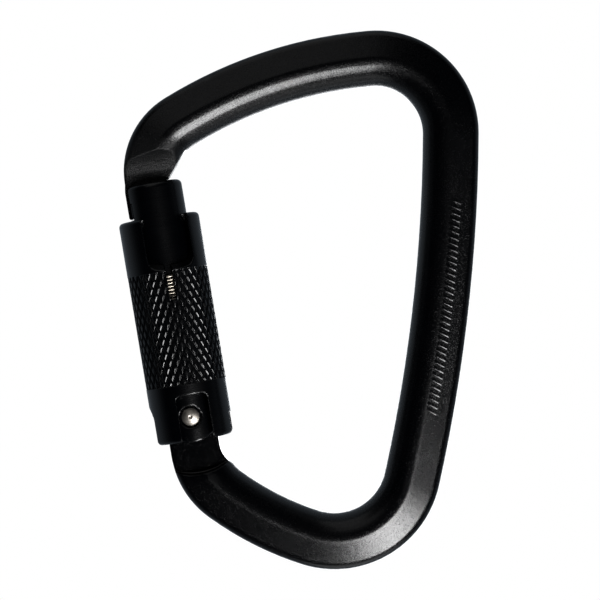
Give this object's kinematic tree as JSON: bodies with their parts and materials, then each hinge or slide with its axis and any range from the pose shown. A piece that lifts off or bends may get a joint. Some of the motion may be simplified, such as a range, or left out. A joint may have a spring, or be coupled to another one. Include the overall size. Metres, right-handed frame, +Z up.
{
  "type": "locking carabiner",
  "caption": "Offset-D carabiner of round-backed bar with a hinged gate held shut by a knurled twist-lock sleeve.",
  "frame": {"origin": "where a sling bears on the inside of the top basket, in the middle of the bar's thickness", "axes": "+Z up along the closed gate towards the nose, +X from the gate to the spine, +Y along the hinge pin away from the front"},
  "size_m": [0.0782, 0.017, 0.111],
  "materials": {
    "forged_black": "black textured coating, satin, fine grain",
    "gate_black": "smooth black anodised, satin",
    "sleeve_black": "black anodised, knurled band, satin ends",
    "rivet_steel": "turned bright steel",
    "spring_steel": "drawn wire",
    "pin_steel": "ground",
    "bush_plastic": "moulded, matt"
  },
  "bodies": {
    "frame": {"frame": "forged_black"},
    "gate": {"gate_bar": "gate_black", "hinge_rivet": "rivet_steel", "guide_pin": "pin_steel", "gate_spring": "spring_steel", "sleeve_spring": "spring_steel"},
    "sleeve": {"lock_sleeve": "sleeve_black", "sleeve_bush": "bush_plastic"},
    "plunger": {"gate_plunger": "pin_steel"}
  },
  "joints": [
    {"name": "gate_swing", "type": "hinge", "parent": "frame", "child": "gate", "pos_m": [-0.04228, 0, -0.06241], "axis": [0, 1, 0], "range_deg": [0, 35], "stiffness_Nm_per_rad": 0.12, "springref_deg": -20.05},
    {"name": "sleeve_twist", "type": "hinge", "parent": "gate", "child": "sleeve", "pos_m": [-0.04228, 0, -0.04241], "axis": [0, 0, -1], "range_deg": [0, 96], "stiffness_Nm_per_rad": 0.02, "springref_deg": -28.65},
    {"name": "plunger_slide", "type": "slide", "parent": "gate", "child": "plunger", "axis": [0, 0, 1], "range_m": [0, 0.00086], "deforming": ["gate_spring"]}
  ],
  "couplings": [
    {"joint": "plunger_slide", "follows": "gate_swing", "m_per_rad": 0.0014}
  ]
}
